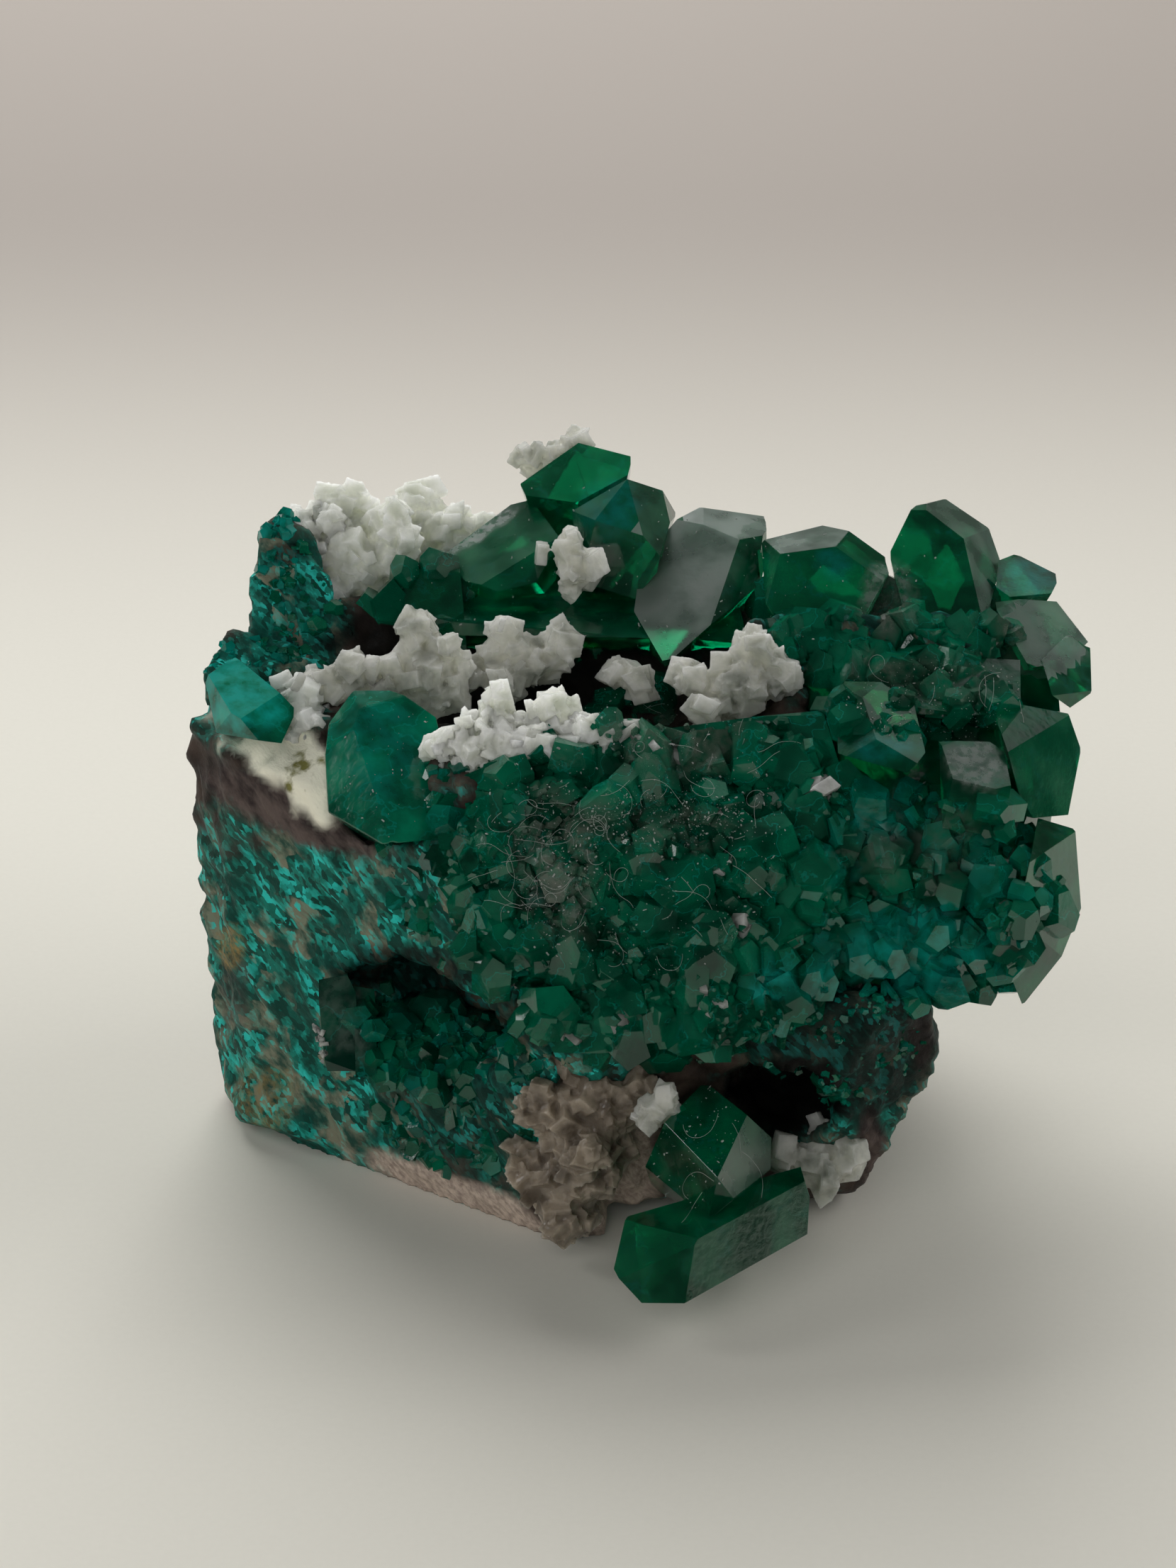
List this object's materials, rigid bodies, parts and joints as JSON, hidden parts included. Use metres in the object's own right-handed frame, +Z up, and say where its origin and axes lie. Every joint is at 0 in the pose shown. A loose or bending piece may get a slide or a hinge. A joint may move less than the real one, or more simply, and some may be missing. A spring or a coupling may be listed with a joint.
{
  "type": "mineral_specimen",
  "caption": "Hand specimen of emerald green dioptase prisms and a druse of small crystals on copper-stained rock, with sprays of white calcite in its hollow",
  "frame": {"origin": "on the flat resting face, below the middle of the specimen", "axes": "+X along the specimen's width toward the right end, +Z up, the front druse faces -Y"},
  "size_m": [0.0512, 0.0452, 0.0353],
  "materials": {
    "rock": "broken and stained",
    "dioptase": "natural crystal faces",
    "calcite": "natural crystal faces"
  },
  "bodies": {
    "root": {"matrix": "rock", "ridge_crystals": "dioptase", "crest_crystal_middle": "dioptase", "crest_crystal_right": "dioptase", "right_cluster": "dioptase", "left_front_crystal": "dioptase", "left_knob_crystal": "dioptase", "lower_crystals": "dioptase", "front_druse": "dioptase", "cavity_crust": "dioptase", "calcite_left_peak": "calcite", "calcite_back": "calcite", "calcite_crest": "calcite", "calcite_ridge": "calcite", "calcite_vug_mass": "calcite", "calcite_vug_tuft": "calcite", "calcite_vug_spire": "calcite", "calcite_left_rim": "calcite", "calcite_rim": "calcite", "calcite_centre": "calcite", "calcite_base": "calcite", "calcite_sprig": "calcite", "calcite_lower_right": "calcite"}
  },
  "joints": []
}
